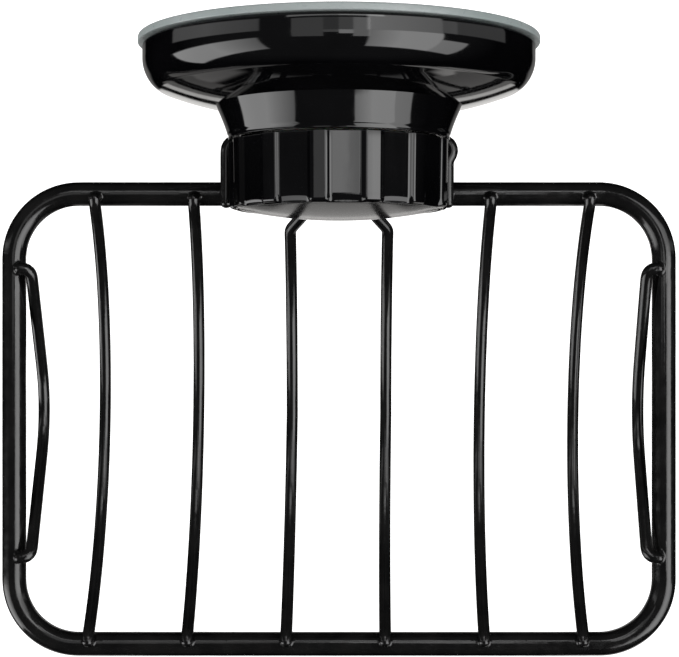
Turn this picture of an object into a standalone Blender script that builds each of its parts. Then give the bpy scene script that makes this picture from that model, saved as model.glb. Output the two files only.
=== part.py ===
"""Suction soap dish: a screw-down suction cup that carries a wire basket.

Metres, +Z up, +Y into the wall. The origin is the centre of the pad's wall face.
Depths of the cup's pieces are measured out from the wall along the cup's axis.
"""

import math

import bmesh
import bpy

# Clearances and working sizes
gap = 0.0003
cut_overrun = 0.001
merge_distance = 0.000002

# Suction pad
pad_radius = 0.040
pad_band = 0.0015
pad_edge_round = 0.0004
pad_floor = 0.0023
pad_boss_wall = 0.0027
pad_boss_lip = 0.0015
pad_boss_fillet = 0.0025

# Threaded stud moulded into the pad, which the knob draws out by its turns to lock
stud_radius = 0.004
stud_flat = 0.0032
stud_flange_radius = 0.009
stud_flange_thickness = 0.0016
stud_grip_in_nut = 0.0034
stud_tip_round = 0.0004
thread_pitch = 0.0025
turns_to_lock = 1.5

# Bell housing
pad_past_bell = 0.0009
bell_wall = 0.0022
bell_rim_round = 0.0003
bell_straight_depth = 0.0065
shoulder_round = 0.0035
shoulder_inset = 0.0021
dome_rise = 0.0035
crown_height = 0.00025
neck_height = 0.0067
neck_flare = 0.0025
neck_flare_power = 1.25
neck_radius = 0.0221
neck_lip_wall = 0.0016
sleeve_wall = 0.0032
sleeve_play = 0.00025
boss_radius = 0.0097
plate_recess = 0.0013
notch_relief = 0.0002
swivel_deg = 20

# Hanger plate
plate_thickness = 0.001
tongue_width = 0.012
tongue_margin = 0.00105
tongue_round = 0.002

# Locking knob
knob_draft = 0.0002
knob_seam = 0.0004
knob_edge_round = 0.0012
knob_front_round = 0.0018
flute_count = 13
flute_depth = 0.0012
flute_first_deg = 4.5
knob_wall = 0.0017
hub_radius = 0.015
hub_shoulder = 0.002
room_before_nut = 0.0028
cap_seat_wall = 0.0014

# The knob's rounded ends as (way in from the end, drop of the radius, depth of the flutes).
# The first two are shares of the end's round and the last of the flutes' full depth.
back_end_shares = ((0, 1 / 4, 0.9), (1 / 2, 0, 1))
front_end_shares = ((2, 0, 1), (1, 1 / 16, 0.85), (1 / 2, 1 / 6, 0.45), (1 / 6, 0.4, 0.1), (0, 0.7, 0))

# Thrust washer
washer_inset = 0.0015
washer_thickness = 0.001

# Hex nut in the knob
nut_flats = 0.013
nut_thickness = 0.0065
nut_chamfer = 0.0004

# Knob face cap
cap_inset = 0.0019
cap_thickness = 0.0013
cap_crown = 0.0004
cap_edge_round = 0.0003

# Basket wires
rail_radius = 0.0026
wire_radius = 0.0013
wire_below_knob = 0.00125
frame_half_width = 0.0704
back_rail_depth = 0.02875
front_rail_depth = 0.12625
frame_corner = 0.014
rib_count = 6
rib_end_inset = 0.017275
rib_drop = 0.0178
rib_skew = 0.0015
rib_wrap_deg = 34
tongue_edge = 0.0013
kink_past_knob = 0.0013
side_gap = 0.00045
side_end_inset = 0.01775
side_shift = 0.0015
side_drop_left = 0.0125
side_drop_right = 0.0080
side_bend = 0.012
side_end_bend = 0.0022
side_stub_inset = 0.0018
hanger_past_knob = 0.00165
hanger_shift = 0.0004
hanger_overhang = 0.00235
hanger_corner = 0.0024
hanger_bulge = 0.00095
hanger_bulge_length = 0.0022

# Fineness of the round shapes
fine_steps = 64
small_steps = 32
neck_points = 6
corner_points = 6
flute_points = 8
arc_points = 18

# Radii that follow from the sizes above
pad_boss_radius = stud_flange_radius + gap + pad_boss_wall
bell_radius = pad_radius - pad_past_bell
shoulder_radius = bell_radius - shoulder_inset
crease_radius = neck_radius + neck_flare
recess_radius = neck_radius - neck_lip_wall
plate_radius = recess_radius - gap
keyed_bore = stud_radius + gap
keyed_flat = stud_flat + gap
sleeve_radius = keyed_bore + sleeve_wall
knob_radius = neck_radius
knob_front_radius = knob_radius - knob_draft
recess_inside_knob = knob_radius - flute_depth - knob_wall
washer_radius = hub_radius - washer_inset
cap_radius = knob_front_radius - cap_inset
cap_seat_radius = cap_radius + gap

# Depths that follow from the sizes above
flange_depth = pad_floor + gap
flange_front = flange_depth + stud_flange_thickness
pad_boss_depth = flange_front + gap + pad_boss_lip
stud_travel = thread_pitch * turns_to_lock
sleeve_depth = pad_boss_depth + stud_travel + sleeve_play
bell_rim_depth = pad_band + gap
shoulder_depth = bell_straight_depth + shoulder_round
crease_depth = shoulder_depth + dome_rise
neck_depth = crease_depth + neck_height
recess_depth = neck_depth - plate_recess
web_depth = recess_depth - bell_wall
plate_back = recess_depth + gap
plate_front = plate_back + plate_thickness
boss_depth = plate_front - gap
washer_back = plate_front + gap
hub_depth = washer_back + washer_thickness + gap
knob_back = neck_depth + knob_seam
nut_back = hub_depth + hub_shoulder + gap
nut_front = nut_back + nut_thickness
stud_end_depth = nut_back + stud_grip_in_nut
cap_seat_depth = nut_front + room_before_nut
knob_depth = cap_seat_depth + gap + cap_thickness

# Places of the wires that follow from the sizes above
wire_offset = rail_radius + gap + wire_radius
wire_height = -(knob_radius + wire_below_knob + wire_radius)
frame_height = wire_height - wire_offset
frame_centre_depth = (back_rail_depth + front_rail_depth) / 2
frame_half_depth = (front_rail_depth - back_rail_depth) / 2
rib_spacing = 2 * (frame_half_width - rib_end_inset) / (rib_count - 1)
tongue_half = tongue_width / 2
tongue_reach = wire_radius - wire_height + tongue_margin
neck_half_width = tongue_half - tongue_edge
kink_depth = knob_depth + kink_past_knob
side_inset = rail_radius + side_gap + wire_radius
side_half_span = frame_half_depth - side_end_inset
side_centre_depth = frame_centre_depth - side_shift
hanger_half_width = knob_radius + hanger_past_knob
hanger_front_depth = back_rail_depth + hanger_overhang
hanger_back_depth = plate_back - gap - wire_radius

# Looks as (colour, roughness, metallic)
black = (0.006, 0.006, 0.0065, 1.0)
moulded_look = (black, 0.12, 0.0)
plate_look = (black, 0.3, 0.6)
wire_look = (black, 0.25, 0.3)
pad_look = ((0.30, 0.36, 0.35, 1.0), 0.35, 0.0)
stud_look = ((0.62, 0.61, 0.58, 1.0), 0.28, 1.0)
washer_look = ((0.75, 0.74, 0.70, 1.0), 0.4, 0.0)
nut_look = ((0.60, 0.46, 0.22, 1.0), 0.3, 1.0)

# Angles above which an edge is bevelled or kept sharp
bevel_over_deg = 70
sharp_over_deg = 35


def make_collection(name):
    """Make a collection in the scene."""
    made = bpy.data.collections.new(name)
    bpy.context.scene.collection.children.link(made)
    return made


def make_material(name, colour, roughness, metallic):
    """Make a Principled material."""
    made = bpy.data.materials.new(name)
    made.use_nodes = True
    shader = made.node_tree.nodes["Principled BSDF"]
    shader.inputs["Base Color"].default_value = colour
    shader.inputs["Roughness"].default_value = roughness
    shader.inputs["Metallic"].default_value = metallic
    return made


def add_part(name, data, frame, look):
    """Put a piece in the part's collection, carried by a frame on its joint's axis."""
    piece = bpy.data.objects.new(name, data)
    parts.objects.link(piece)
    piece.parent = frame
    data.materials.append(make_material(name, *look))
    return piece


def add_cutter(name, data):
    """Put a cutting shape on the cup's axis, out of the render."""
    piece = bpy.data.objects.new(name, data)
    cutters.objects.link(piece)
    piece.parent = cup_axis
    piece.hide_render = True
    piece.display_type = "WIRE"
    return piece


def profile_mesh(name, profile, ring):
    """Make the line that a turned piece is spun from."""
    mesh = bpy.data.meshes.new(name)
    edges = [(i, i + 1) for i in range(len(profile) - 1)]
    if ring:
        edges.append((len(profile) - 1, 0))
    mesh.from_pydata([(r, 0, d) for r, d in profile], edges, [])
    return mesh


def spin(piece, steps):
    """Turn a profile about the cup's axis."""
    turn = piece.modifiers.new("turn", "SCREW")
    turn.axis = "Z"
    turn.steps = steps
    turn.render_steps = steps
    turn.use_merge_vertices = True
    turn.merge_threshold = merge_distance
    return piece


def turned_part(name, profile, steps, frame, look, ring=False):
    """Make a turned piece."""
    return spin(add_part(name, profile_mesh(name, profile, ring), frame, look), steps)


def turned_cutter(name, profile, steps):
    """Make a turned cutting shape."""
    return spin(add_cutter(name, profile_mesh(name, profile, False)), steps)


def cut(piece, cutter):
    """Take a cutting shape out of a piece."""
    change = piece.modifiers.new("cut " + cutter.name, "BOOLEAN")
    change.operation = "DIFFERENCE"
    change.solver = "EXACT"
    change.object = cutter


def outline_curve(name, outlines, thickness):
    """Make a flat plate from closed outlines."""
    curve = bpy.data.curves.new(name, "CURVE")
    curve.dimensions = "2D"
    curve.fill_mode = "BOTH"
    curve.extrude = thickness / 2
    for outline in outlines:
        spline = curve.splines.new("POLY")
        spline.points.add(len(outline) - 1)
        for point, (x, y) in zip(spline.points, outline):
            point.co = (x, y, 0, 1)
        spline.use_cyclic_u = True
    return curve


def prism_mesh(name, outline, thickness):
    """Make the closed mesh of a straight-sided block from its outline."""
    curve = outline_curve(name, [outline], thickness)
    source = bpy.data.objects.new(name, curve)
    cutters.objects.link(source)
    bpy.context.view_layer.update()
    seen = source.evaluated_get(bpy.context.evaluated_depsgraph_get())
    mesh = bpy.data.meshes.new_from_object(seen)
    bpy.data.objects.remove(source)
    shape = bmesh.new()
    shape.from_mesh(mesh)
    bmesh.ops.remove_doubles(shape, verts=shape.verts, dist=merge_distance)
    bmesh.ops.recalc_face_normals(shape, faces=shape.faces)
    shape.to_mesh(mesh)
    shape.free()
    return mesh


def prism_cutter(name, outline, low, high):
    """Make a straight-sided cutting shape between two depths."""
    cutter = add_cutter(name, prism_mesh(name, outline, high - low))
    cutter.location = (0, 0, (low + high) / 2)
    return cutter


def arc(centre, radii, start_deg, end_deg, count):
    """List points round part of an ellipse."""
    points = []
    for i in range(count + 1):
        angle = math.radians(start_deg + (end_deg - start_deg) * i / count)
        x = centre[0] + radii[0] * math.cos(angle)
        y = centre[1] + radii[1] * math.sin(angle)
        points.append((x, y))
    return points


def bend(start, corner, end, count):
    """List points of a smooth bend from start to end that leans on a corner."""
    points = []
    for i in range(count + 1):
        t = i / count
        weights = ((1 - t) ** 2, 2 * t * (1 - t), t**2)
        trio = zip(start, corner, end)
        points.append(tuple(sum(w * v for w, v in zip(weights, axis)) for axis in trio))
    return points


def toward(point, target, distance):
    """Give the point that lies a distance along the way to a target."""
    span = math.dist(point, target)
    return tuple(a + (b - a) * distance / span for a, b in zip(point, target))


def rounded_path(corners, rounds, count):
    """List the points of a bent wire from its corners and the size of each bend."""
    points = [corners[0]]
    for i in range(1, len(corners) - 1):
        before = toward(corners[i], corners[i - 1], rounds[i - 1])
        after = toward(corners[i], corners[i + 1], rounds[i - 1])
        points += bend(before, corners[i], after, count)
    points.append(corners[-1])
    return points


def wire_part(name, points, radius, closed=False, sides=2):
    """Make a round wire through points in the world's directions."""
    curve = bpy.data.curves.new(name, "CURVE")
    curve.dimensions = "3D"
    curve.bevel_depth = radius
    curve.bevel_resolution = sides
    curve.use_fill_caps = True
    spline = curve.splines.new("POLY")
    spline.points.add(len(points) - 1)
    for point, place in zip(spline.points, points):
        point.co = (*place, 1)
    spline.use_cyclic_u = closed
    return add_part(name, curve, basket_axis, wire_look)


def make_suction_pad():
    """Model the soft pad: a disc with a boss that is moulded round the stud's flange."""
    lip_hole = stud_radius + gap
    pocket_radius = stud_flange_radius + gap
    profile = [
        (0, pad_floor),
        (pocket_radius, pad_floor),
        (pocket_radius, flange_front + gap),
        (lip_hole, flange_front + gap),
        (lip_hole, pad_boss_depth),
        (pad_boss_radius - pad_edge_round, pad_boss_depth),
        (pad_boss_radius, pad_boss_depth - pad_edge_round),
    ]
    foot = (pad_boss_radius, pad_band + pad_boss_fillet)
    toe = (pad_boss_radius + pad_boss_fillet, pad_band)
    profile += bend(foot, (pad_boss_radius, pad_band), toe, 3)
    profile += [
        (pad_radius - pad_edge_round, pad_band),
        (pad_radius, pad_band - pad_edge_round),
        (pad_radius, pad_edge_round),
        (pad_radius - pad_edge_round, 0),
        (0, 0),
    ]
    turned_part("suction_pad", profile, fine_steps, cup_axis, pad_look)


def double_d(radius, flat):
    """List the outline of a circle with two opposite flats."""
    start = math.degrees(math.asin(flat / radius))
    sweep = small_steps // 4
    upper = arc((0, 0), (radius, radius), -start, start, sweep)
    return upper + [(-x, -y) for x, y in upper]


def make_pad_stud():
    """Model the threaded stud, with its flange and the two flats that stop it turning."""
    profile = [
        (0, stud_end_depth),
        (stud_radius - stud_tip_round, stud_end_depth),
        (stud_radius, stud_end_depth - stud_tip_round),
        (stud_radius, flange_front),
        (stud_flange_radius, flange_front),
        (stud_flange_radius, flange_depth),
        (0, flange_depth),
    ]
    stud = turned_part("pad_stud", profile, small_steps, stud_axis, stud_look)
    reach = stud_radius + cut_overrun
    for side, name in ((1, "flat_cutter_upper"), (-1, "flat_cutter_lower")):
        near = side * stud_flat
        far = side * reach
        outline = [(-reach, near), (reach, near), (reach, far), (-reach, far)]
        cut(stud, prism_cutter(name, outline, pad_boss_depth, stud_end_depth + cut_overrun))


def bell_outside():
    """List the bell's outer side, from the neck's front down to the rim."""
    points = []
    for i in range(neck_points + 1):
        t = i / neck_points
        flared = neck_radius + neck_flare * t**neck_flare_power
        points.append((flared, neck_depth + (crease_depth - neck_depth) * t))
    slope = (crease_depth - shoulder_depth) / (shoulder_radius - crease_radius)
    crown_radius = (crease_radius + shoulder_radius) / 2
    points.append((crown_radius, (crease_depth + shoulder_depth) / 2 + crown_height))
    corner = (bell_radius, shoulder_depth - (bell_radius - shoulder_radius) * slope)
    shoulder = (shoulder_radius, shoulder_depth)
    points += bend(shoulder, corner, (bell_radius, bell_straight_depth), 4)
    points.append((bell_radius, bell_rim_depth + bell_rim_round))
    points.append((bell_radius - bell_rim_round, bell_rim_depth))
    return points


def bell_inside():
    """List the bell's inner side, from the rim up to the axis at the sleeve's end."""
    inner_radius = bell_radius - bell_wall
    return [
        (inner_radius, bell_rim_depth),
        (inner_radius, bell_straight_depth),
        (shoulder_radius - bell_wall, shoulder_depth - bell_wall),
        (crease_radius - bell_wall, crease_depth - bell_wall),
        (neck_radius - bell_wall, web_depth),
        (sleeve_radius, web_depth),
        (sleeve_radius, sleeve_depth),
        (0, sleeve_depth),
    ]


def notch_outline():
    """List the gap in the neck's lip that lets the plate's tongue out and swing."""
    half = math.degrees(math.asin(tongue_half / recess_radius)) + swivel_deg
    half += math.degrees(gap / recess_radius)
    outer = crease_radius + cut_overrun
    inner = recess_radius - gap
    low = -90 - half
    high = -90 + half
    rim = arc((0, 0), (outer, outer), low, high, corner_points)
    return rim + arc((0, 0), (inner, inner), high, low, corner_points)


def make_bell_housing():
    """Model the moulded bell, with its keyed guide sleeve and the seat for the hanger."""
    front = [
        (0, boss_depth),
        (boss_radius, boss_depth),
        (boss_radius, recess_depth),
        (recess_radius, recess_depth),
        (recess_radius, neck_depth),
    ]
    profile = front + bell_outside() + bell_inside()
    bell = turned_part("bell_housing", profile, fine_steps, cup_axis, moulded_look)
    low = sleeve_depth - cut_overrun
    high = boss_depth + cut_overrun
    cut(bell, prism_cutter("keyed_bore_cutter", double_d(keyed_bore, keyed_flat), low, high))
    low = recess_depth - notch_relief
    high = neck_depth + cut_overrun
    cut(bell, prism_cutter("notch_cutter", notch_outline(), low, high))


def plate_outline():
    """List the hanger plate's ring with its tongue, seen from the front."""
    foot = math.degrees(math.asin(tongue_half / plate_radius))
    ring = arc((0, 0), (plate_radius, plate_radius), -90 + foot, 270 - foot, fine_steps // 2)
    rounds = (tongue_round, tongue_round)
    left = -tongue_half + tongue_round
    right = tongue_half - tongue_round
    base = -tongue_reach + tongue_round
    corners = arc((left, base), rounds, 180, 270, corner_points // 2)
    return ring + corners + arc((right, base), rounds, 270, 360, corner_points // 2)


def make_hanger_plate():
    """Model the stamped plate that is clamped between the bell and the knob."""
    hole_radius = boss_radius + gap
    hole = arc((0, 0), (hole_radius, hole_radius), 360, 0, small_steps)[:-1]
    curve = outline_curve("hanger_plate", [plate_outline(), hole], plate_thickness)
    plate = add_part("hanger_plate", curve, basket_axis, plate_look)
    plate.rotation_euler = (math.radians(90), 0, 0)
    plate.location = (0, -(plate_back + plate_front) / 2, 0)


def flute_share(angle_deg):
    """Give how deep the flutes are at an angle: 1 in a valley and 0 on a ridge."""
    pitch = 360 / flute_count
    across = ((angle_deg - flute_first_deg) / pitch + 0.5) % 1
    return 1 - abs(2 * across - 1) ** 2


def knob_sections():
    """List the knob's sections from back to front: depth, radius and share of the flutes."""
    sections = []
    for way, drop, share in back_end_shares:
        depth = knob_back + knob_edge_round * way
        sections.append((depth, knob_radius - knob_edge_round * drop, share))
    for way, drop, share in front_end_shares:
        depth = knob_depth - knob_front_round * way
        sections.append((depth, knob_front_radius - knob_front_round * drop, share))
    return sections


def knob_blank():
    """Loft the fluted outside of the knob through its sections."""
    count = flute_count * flute_points
    shape = bmesh.new()
    rings = []
    for depth, radius, share in knob_sections():
        ring = []
        for i in range(count):
            turn_deg = 360 * i / count + flute_first_deg
            reach = radius - flute_depth * share * flute_share(turn_deg)
            angle = math.radians(90 - turn_deg)
            ring.append(shape.verts.new((reach * math.cos(angle), reach * math.sin(angle), depth)))
        rings.append(ring)
    for low, high in zip(rings, rings[1:]):
        for i in range(count):
            j = (i + 1) % count
            shape.faces.new((low[i], low[j], high[j], high[i]))
    shape.faces.new(rings[0])
    shape.faces.new(rings[-1])
    bmesh.ops.recalc_face_normals(shape, faces=shape.faces)
    mesh = bpy.data.meshes.new("locking_knob")
    shape.to_mesh(mesh)
    shape.free()
    return mesh


def hexagon(flats):
    """List a hexagon's corners from its size across the flats."""
    radius = flats / 2 / math.cos(math.radians(30))
    return arc((0, 0), (radius, radius), 0, 360, 6)[:-1]


def make_locking_knob():
    """Model the fluted knob, hollow at the back, with a hub that holds the nut."""
    knob = add_part("locking_knob", knob_blank(), knob_axis, moulded_look)
    floor = cap_seat_depth - cap_seat_wall
    open_end = knob_back - cut_overrun
    hollow = [
        (0, hub_depth),
        (hub_radius, hub_depth),
        (hub_radius, floor),
        (recess_inside_knob, floor),
        (recess_inside_knob, open_end),
        (0, open_end),
    ]
    cut(knob, turned_cutter("knob_hollow_cutter", hollow, fine_steps))
    bore = stud_radius + gap
    front = [
        (0, knob_depth + cut_overrun),
        (cap_seat_radius, knob_depth + cut_overrun),
        (cap_seat_radius, cap_seat_depth),
        (bore, cap_seat_depth),
        (bore, hub_depth - cut_overrun),
        (0, hub_depth - cut_overrun),
    ]
    cut(knob, turned_cutter("cap_seat_cutter", front, fine_steps))
    pocket = hexagon(nut_flats + 2 * gap)
    low = hub_depth + hub_shoulder
    cut(knob, prism_cutter("nut_pocket_cutter", pocket, low, cap_seat_depth + cut_overrun))


def make_thrust_washer():
    """Model the plain washer between the hanger plate and the knob's hub."""
    front = washer_back + washer_thickness
    bore = stud_radius + gap
    profile = [(bore, front), (washer_radius, front), (washer_radius, washer_back), (bore, washer_back)]
    turned_part("thrust_washer", profile, small_steps, knob_axis, washer_look, ring=True)


def make_knob_nut():
    """Model the hex nut, with its corners turned down at the front."""
    mesh = prism_mesh("knob_nut", hexagon(nut_flats), nut_thickness)
    nut = add_part("knob_nut", mesh, knob_axis, nut_look)
    nut.location = (0, 0, nut_back + nut_thickness / 2)
    edge = nut.modifiers.new("chamfer", "BEVEL")
    edge.width = nut_chamfer
    edge.segments = 1
    edge.limit_method = "ANGLE"
    edge.angle_limit = math.radians(bevel_over_deg)
    bore = stud_radius + gap
    hole = [
        (0, nut_front + cut_overrun),
        (bore, nut_front + cut_overrun),
        (bore, nut_back - cut_overrun),
        (0, nut_back - cut_overrun),
    ]
    cut(nut, turned_cutter("nut_bore_cutter", hole, small_steps))


def make_knob_face_cap():
    """Model the slightly crowned disc that closes the knob's front."""
    back = cap_seat_depth + gap
    profile = [
        (0, knob_depth + cap_crown),
        (cap_radius / 2, knob_depth + cap_crown * 3 / 4),
        (cap_radius - cap_edge_round, knob_depth),
        (cap_radius, knob_depth - cap_edge_round),
        (cap_radius, back),
        (0, back),
    ]
    turned_part("knob_face_cap", profile, fine_steps, knob_axis, moulded_look)


def make_frame_loop():
    """Model the thick rail, one closed loop with rounded corners."""
    points = []
    x = frame_half_width - frame_corner
    y = frame_half_depth - frame_corner
    radii = (frame_corner, frame_corner)
    for side, end, start in ((1, 1, 0), (-1, 1, 90), (-1, -1, 180), (1, -1, 270)):
        centre = (side * x, end * y - frame_centre_depth)
        points += arc(centre, radii, start, start + 90, corner_points)
    wire_part("frame_loop", [(px, py, frame_height) for px, py in points], rail_radius, True, 4)


def rib_profile():
    """List the back half of a rib as (way back from the tray's middle, height).

    It sags as one round arc and is laid over the back rail at its end.
    """
    sag = rib_drop
    offset = wire_offset
    radius = (frame_half_depth**2 + sag**2 - offset**2) / (2 * (sag + offset))
    centre_height = frame_height + radius - sag
    lean = math.asin(frame_half_depth / (radius + offset))
    points = []
    for i in range(arc_points // 2 + 1):
        angle = lean * 2 * i / arc_points
        points.append((radius * math.sin(angle), centre_height - radius * math.cos(angle)))
    return points, lean


def over_rail(lean, end_lean, count):
    """List points of a wire bent round the top of a rail, from one lean to another."""
    points = []
    for i in range(1, count + 1):
        angle = lean + (end_lean - lean) * i / count
        back = frame_half_depth - wire_offset * math.sin(angle)
        points.append((back, frame_height + wire_offset * math.cos(angle)))
    return points


def make_ribs():
    """Model the sagging wires of the tray, the middle two carried on to the tongue."""
    half, lean = rib_profile()
    end_lean = lean - math.radians(rib_wrap_deg)
    front_half = half + over_rail(lean, end_lean, 3)
    front = [(-back, height) for back, height in reversed(front_half)]
    for number in range(1, rib_count + 1):
        x = (number - (rib_count + 1) / 2) * rib_spacing
        middle = abs(x) < rib_spacing
        rear = half[1:] + over_rail(lean, 0 if middle else end_lean, 3)
        path = []
        for back, height in front + rear:
            lean_x = rib_skew / 2 * min(back / frame_half_depth, 0 if middle else 1)
            path.append((x + lean_x, back - frame_centre_depth, height))
        if middle:
            path = kinked(path, x)
        wire_part(f"rib_{number}", path, wire_radius)


def kinked(path, x):
    """Draw the back end of a middle rib in to the neck and run it to the tongue."""
    side = math.copysign(1, x)
    inner = side * neck_half_width
    done = [place for place in path if place[1] < -kink_depth - wire_radius]
    for place in path:
        if place[1] >= -kink_depth - wire_radius:
            run = (place[1] + kink_depth) / (kink_depth - back_rail_depth)
            share = min(max(run, 0), 1)
            done.append((x + (inner - x) * share, place[1], place[2]))
    done.append((inner, -plate_front - gap, wire_height))
    return done


def make_side_wires():
    """Model the two dipping wires that hang inside the side rails."""
    middle = -side_centre_depth
    inner = frame_half_width - side_inset
    both = ((-1, side_drop_left, "side_wire_left"), (1, side_drop_right, "side_wire_right"))
    for side, drop, name in both:
        outer = side * (frame_half_width - side_stub_inset)
        plane = side * inner
        corners = [
            (outer, middle - side_half_span, wire_height),
            (plane, middle - side_half_span, wire_height),
            (plane, middle, frame_height - drop * 5 / 4),
            (plane, middle + side_half_span, wire_height),
            (outer, middle + side_half_span, wire_height),
        ]
        path = rounded_path(corners, (side_end_bend, side_bend, side_end_bend), corner_points)
        wire_part(name, path, wire_radius)


def make_hanger_wire():
    """Model the bent wire that joins the back rail to the hanger plate."""
    back = -hanger_back_depth
    front = -hanger_front_depth
    left = -hanger_half_width - hanger_shift
    right = hanger_half_width - hanger_shift
    swell = right + hanger_bulge
    arm_top = back - hanger_corner
    corners = [
        (left, front, wire_height),
        (left, back, wire_height),
        (swell, back, wire_height),
        (swell, arm_top, wire_height),
    ]
    path = rounded_path(corners, (hanger_corner, hanger_corner), corner_points)[:-1]
    for i in range(1, corner_points + 1):
        ease = (1 + math.cos(math.pi * i / corner_points)) / 2
        place = arm_top - hanger_bulge_length * i / corner_points
        path.append((right + hanger_bulge * ease, place, wire_height))
    path.append((right, front, wire_height))
    wire_part("hanger_wire", path, wire_radius)


def joint_frame(name, depth, along_axis):
    """Make an empty on the cup's axis that carries the pieces of one body."""
    frame = bpy.data.objects.new(name, None)
    bpy.context.scene.collection.objects.link(frame)
    if along_axis:
        frame.rotation_euler = (math.radians(90), 0, 0)
    frame.location = (0, -depth, 0)
    return frame


def smooth(piece):
    """Keep a piece's round faces smooth and its edges sharp."""
    if piece.type != "MESH":
        return
    seen = piece.evaluated_get(bpy.context.evaluated_depsgraph_get())
    mesh = bpy.data.meshes.new_from_object(seen)
    piece.modifiers.clear()
    piece.data = mesh
    mesh.shade_smooth()
    mesh.set_sharp_from_angle(angle=math.radians(sharp_over_deg))


for old in list(bpy.data.objects):
    bpy.data.objects.remove(old)

parts = make_collection("suction_soap_dish")
cutters = make_collection("cutters")
cup_axis = joint_frame("cup_axis", 0, True)
stud_axis = joint_frame("stud_axis", 0, True)
knob_axis = joint_frame("knob_axis", 0, True)
basket_axis = joint_frame("basket_axis", 0, False)

make_suction_pad()
make_pad_stud()
make_bell_housing()
make_hanger_plate()
make_thrust_washer()
make_locking_knob()
make_knob_nut()
make_knob_face_cap()
make_frame_loop()
make_ribs()
make_side_wires()
make_hanger_wire()

bpy.context.view_layer.update()
for part in list(parts.objects):
    smooth(part)
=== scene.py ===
import math

import bmesh
import bpy
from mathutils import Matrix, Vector, noise


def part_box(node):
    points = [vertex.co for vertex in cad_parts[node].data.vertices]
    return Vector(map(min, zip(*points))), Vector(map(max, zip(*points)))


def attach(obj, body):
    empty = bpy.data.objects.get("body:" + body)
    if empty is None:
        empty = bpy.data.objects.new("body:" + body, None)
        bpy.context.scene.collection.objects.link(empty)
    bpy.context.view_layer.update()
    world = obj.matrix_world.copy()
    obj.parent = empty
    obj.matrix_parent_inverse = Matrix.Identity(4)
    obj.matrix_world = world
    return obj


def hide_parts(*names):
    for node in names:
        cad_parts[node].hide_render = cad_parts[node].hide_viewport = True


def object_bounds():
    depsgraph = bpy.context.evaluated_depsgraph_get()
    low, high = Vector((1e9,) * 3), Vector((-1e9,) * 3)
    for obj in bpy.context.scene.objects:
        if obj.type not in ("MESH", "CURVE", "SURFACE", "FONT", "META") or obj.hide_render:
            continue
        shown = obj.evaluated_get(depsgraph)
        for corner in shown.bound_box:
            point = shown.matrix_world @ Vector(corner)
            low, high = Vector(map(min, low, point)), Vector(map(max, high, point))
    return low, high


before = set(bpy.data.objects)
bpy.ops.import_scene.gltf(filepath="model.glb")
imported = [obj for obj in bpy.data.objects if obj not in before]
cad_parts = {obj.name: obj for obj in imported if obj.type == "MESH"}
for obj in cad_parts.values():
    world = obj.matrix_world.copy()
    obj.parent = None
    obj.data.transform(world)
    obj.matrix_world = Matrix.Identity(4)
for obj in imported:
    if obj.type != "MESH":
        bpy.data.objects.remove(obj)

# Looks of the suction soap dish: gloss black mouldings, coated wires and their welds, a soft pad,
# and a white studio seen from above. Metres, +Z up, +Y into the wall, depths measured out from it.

cad_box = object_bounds()

# Sizes read from the frame
pad_low, pad_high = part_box("suction_pad")
bell_low, bell_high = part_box("bell_housing")
knob_low, knob_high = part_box("locking_knob")
cap_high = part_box("knob_face_cap")[1]
washer_low, washer_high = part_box("thrust_washer")
plate_low, plate_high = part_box("hanger_plate")
stud_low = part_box("pad_stud")[0]
nut_low, nut_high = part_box("knob_nut")
loop_low, loop_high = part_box("frame_loop")
hanger_low, hanger_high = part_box("hanger_wire")

gap = 0.0003
pad_radius = pad_high.x
pad_boss_depth = -pad_low.y
bell_radius = bell_high.x
bell_rim_depth = -bell_high.y
neck_depth = -bell_low.y
knob_back = -knob_high.y
knob_depth = -knob_low.y
cap_radius = cap_high.x
cap_back = -cap_high.y
plate_front = -plate_low.y
plate_back = -plate_high.y
rail_radius = (loop_high.z - loop_low.z) / 2
frame_height = (loop_high.z + loop_low.z) / 2
frame_half_width = loop_high.x - rail_radius
back_rail_depth = -loop_high.y + rail_radius
front_rail_depth = -loop_low.y - rail_radius
wire_radius = (hanger_high.z - hanger_low.z) / 2

# Pad
pad_band = 0.0015
pad_floor = 0.0023
pad_boss_radius = 0.012
stud_pocket_radius = 0.0093
stud_pocket_depth = 0.0045
pad_lip_width = 0.0042
pad_ring_radii = (0.0125, 0.0215, 0.0300)
pad_ring_width = 0.0007
pad_ring_depth = 0.00022

# Stud, with its thread
stud_radius = 0.004
stud_flat = 0.0032
stud_flange_radius = 0.009
stud_flange_back = 0.0026
stud_flange_front = 0.0042
stud_thread_start = 0.0075
stud_tip_chamfer = 0.0006
stud_tip_slope = 0.6
stud_end_radius = 0.0005
stud_groove_slope = 1.6
stud_crest_share = 0.2
thread_pitch = 0.0025
thread_height = 0.0007
thread_run_in = 0.0012
thread_run_out = 0.0008

# Bell
bell_wall = 0.0022
bell_straight_depth = 0.0065
bend_end_depth = 0.0046
bend_pull = 0.0026
shoulder_radius = 0.0352
shoulder_depth = 0.01065
shoulder_pull = 0.0022
crease_radius = 0.0246
crease_depth = 0.0135
crown_height = 0.00025
neck_radius = 0.0221
neck_flare_power = 1.25
recess_radius = 0.0205
recess_depth = 0.0189
boss_radius = 0.0097
boss_depth = 0.0199
sleeve_radius = 0.0075
sleeve_depth = 0.010
web_depth = 0.0167
keyed_bore = 0.0043
keyed_flat = 0.0035
swivel_deg = 20
notch_relief = 0.0002
notch_edge_step = 0.0002
recess_margin = 0.0004
neck_edge = 0.0006

# Hanger plate
tongue_half = 0.006
tongue_reach = 0.0270
tongue_round = 0.002
plate_radius = 0.0202

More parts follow.
